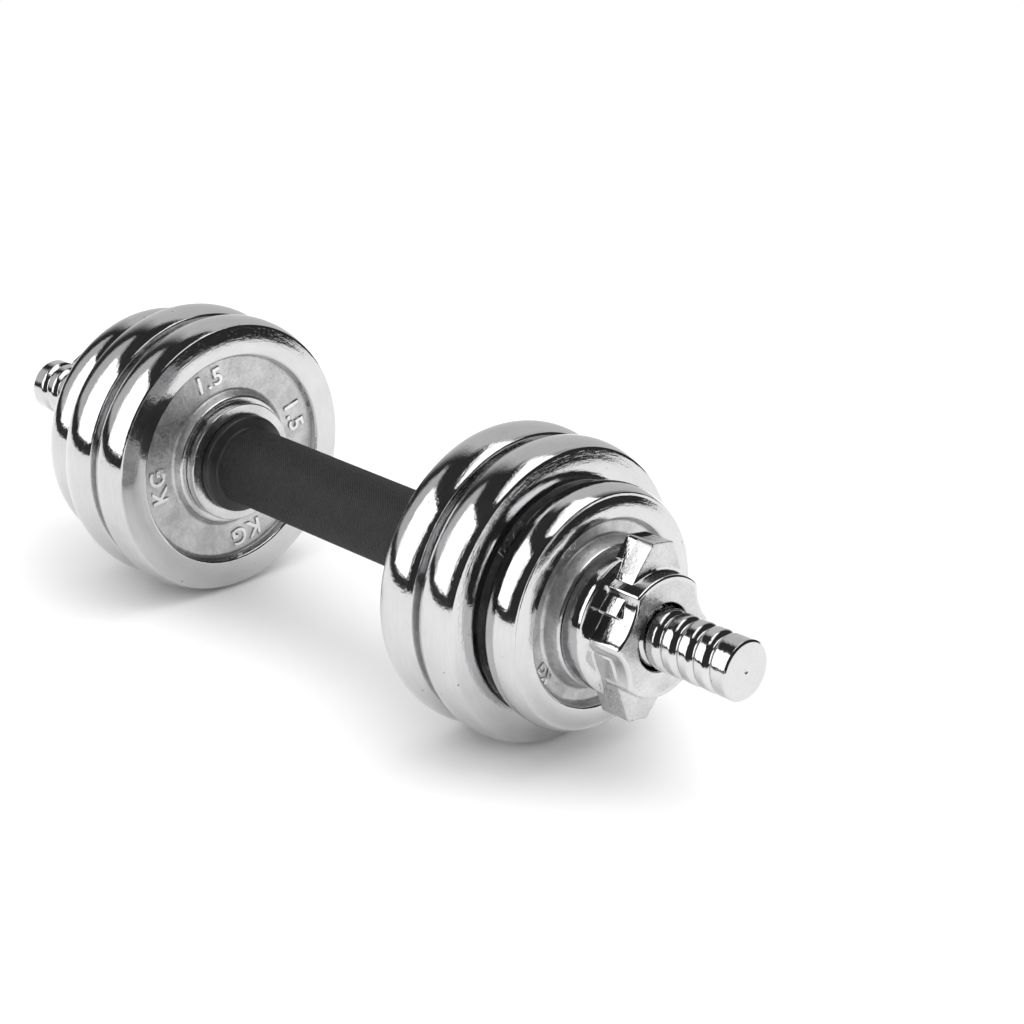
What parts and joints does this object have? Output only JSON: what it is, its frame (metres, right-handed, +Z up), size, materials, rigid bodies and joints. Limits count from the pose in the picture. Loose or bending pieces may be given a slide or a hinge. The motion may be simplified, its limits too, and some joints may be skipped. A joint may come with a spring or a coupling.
{
  "type": "adjustable dumbbell",
  "caption": "Adjustable dumbbell: threaded chromed bar with a rubber grip, chromed weight plates each side and a screw-on lugged collar at each end.",
  "frame": {"origin": "on the surface that the large plates stand on, straight below the middle of the bar", "axes": "+X along the bar towards its right end, +Z up"},
  "size_m": [0.45, 0.128, 0.128],
  "materials": {
    "chrome": "polished chrome plate on a machined steel bar",
    "plate_chrome": "polished chrome rim, dull cast face in the recess",
    "collar_chrome": "chrome plate over a casting, lightly pitted on its front face",
    "grip_rubber": "matte with a fine woven texture",
    "smooth_rubber": "smooth, slight sheen"
  },
  "bodies": {
    "handle": {"bar": "chrome", "grip_sleeve": "grip_rubber", "grip_end_ring_right": "smooth_rubber", "grip_end_ring_left": "smooth_rubber", "stop_ring_right": "chrome", "stop_ring_left": "chrome"},
    "inner_plate_right": {"inner_plate_right": "plate_chrome"},
    "middle_plate_right": {"middle_plate_right": "plate_chrome"},
    "outer_plate_right": {"outer_plate_right": "plate_chrome"},
    "washer_right": {"washer_right": "smooth_rubber"},
    "star_collar_right": {"star_collar_right": "collar_chrome"},
    "inner_plate_left": {"inner_plate_left": "plate_chrome"},
    "middle_plate_left": {"middle_plate_left": "plate_chrome"},
    "outer_plate_left": {"outer_plate_left": "plate_chrome"},
    "washer_left": {"washer_left": "smooth_rubber"},
    "star_collar_left": {"star_collar_left": "collar_chrome"}
  },
  "joints": [
    {"name": "inner_plate_right_slide", "type": "slide", "parent": "handle", "child": "inner_plate_right", "axis": [1, 0, 0], "range_m": [0, 0.15436]},
    {"name": "middle_plate_right_slide", "type": "slide", "parent": "handle", "child": "middle_plate_right", "axis": [1, 0, 0], "range_m": [0, 0.16637]},
    {"name": "outer_plate_right_slide", "type": "slide", "parent": "handle", "child": "outer_plate_right", "axis": [1, 0, 0], "range_m": [0, 0.17838]},
    {"name": "washer_right_slide", "type": "slide", "parent": "handle", "child": "washer_right", "axis": [1, 0, 0], "range_m": [0, 0.1942]},
    {"name": "collar_right_turn", "type": "hinge", "parent": "washer_right", "child": "star_collar_right", "pos_m": [0.165, 0, 0.064], "axis": [1, 0, 0], "range_deg": [0, 8275.6]},
    {"name": "inner_plate_left_slide", "type": "slide", "parent": "handle", "child": "inner_plate_left", "axis": [-1, 0, 0], "range_m": [0, 0.15436]},
    {"name": "middle_plate_left_slide", "type": "slide", "parent": "handle", "child": "middle_plate_left", "axis": [-1, 0, 0], "range_m": [0, 0.16637]},
    {"name": "outer_plate_left_slide", "type": "slide", "parent": "handle", "child": "outer_plate_left", "axis": [-1, 0, 0], "range_m": [0, 0.17838]},
    {"name": "washer_left_slide", "type": "slide", "parent": "handle", "child": "washer_left", "axis": [-1, 0, 0], "range_m": [0, 0.1942]},
    {"name": "collar_left_turn", "type": "hinge", "parent": "washer_left", "child": "star_collar_left", "pos_m": [-0.165, 0, 0.064], "axis": [-1, 0, 0], "range_deg": [0, 8275.6]}
  ],
  "couplings": [
    {"joint": "inner_plate_right_slide", "follows": "washer_right_slide", "ratio": 0.79381},
    {"joint": "middle_plate_right_slide", "follows": "washer_right_slide", "ratio": 0.85567},
    {"joint": "outer_plate_right_slide", "follows": "washer_right_slide", "ratio": 0.91753},
    {"joint": "collar_right_turn", "follows": "washer_right_slide", "rad_per_m": 743.57},
    {"joint": "inner_plate_left_slide", "follows": "washer_left_slide", "ratio": 0.79381},
    {"joint": "middle_plate_left_slide", "follows": "washer_left_slide", "ratio": 0.85567},
    {"joint": "outer_plate_left_slide", "follows": "washer_left_slide", "ratio": 0.91753},
    {"joint": "collar_left_turn", "follows": "washer_left_slide", "rad_per_m": 743.57}
  ]
}
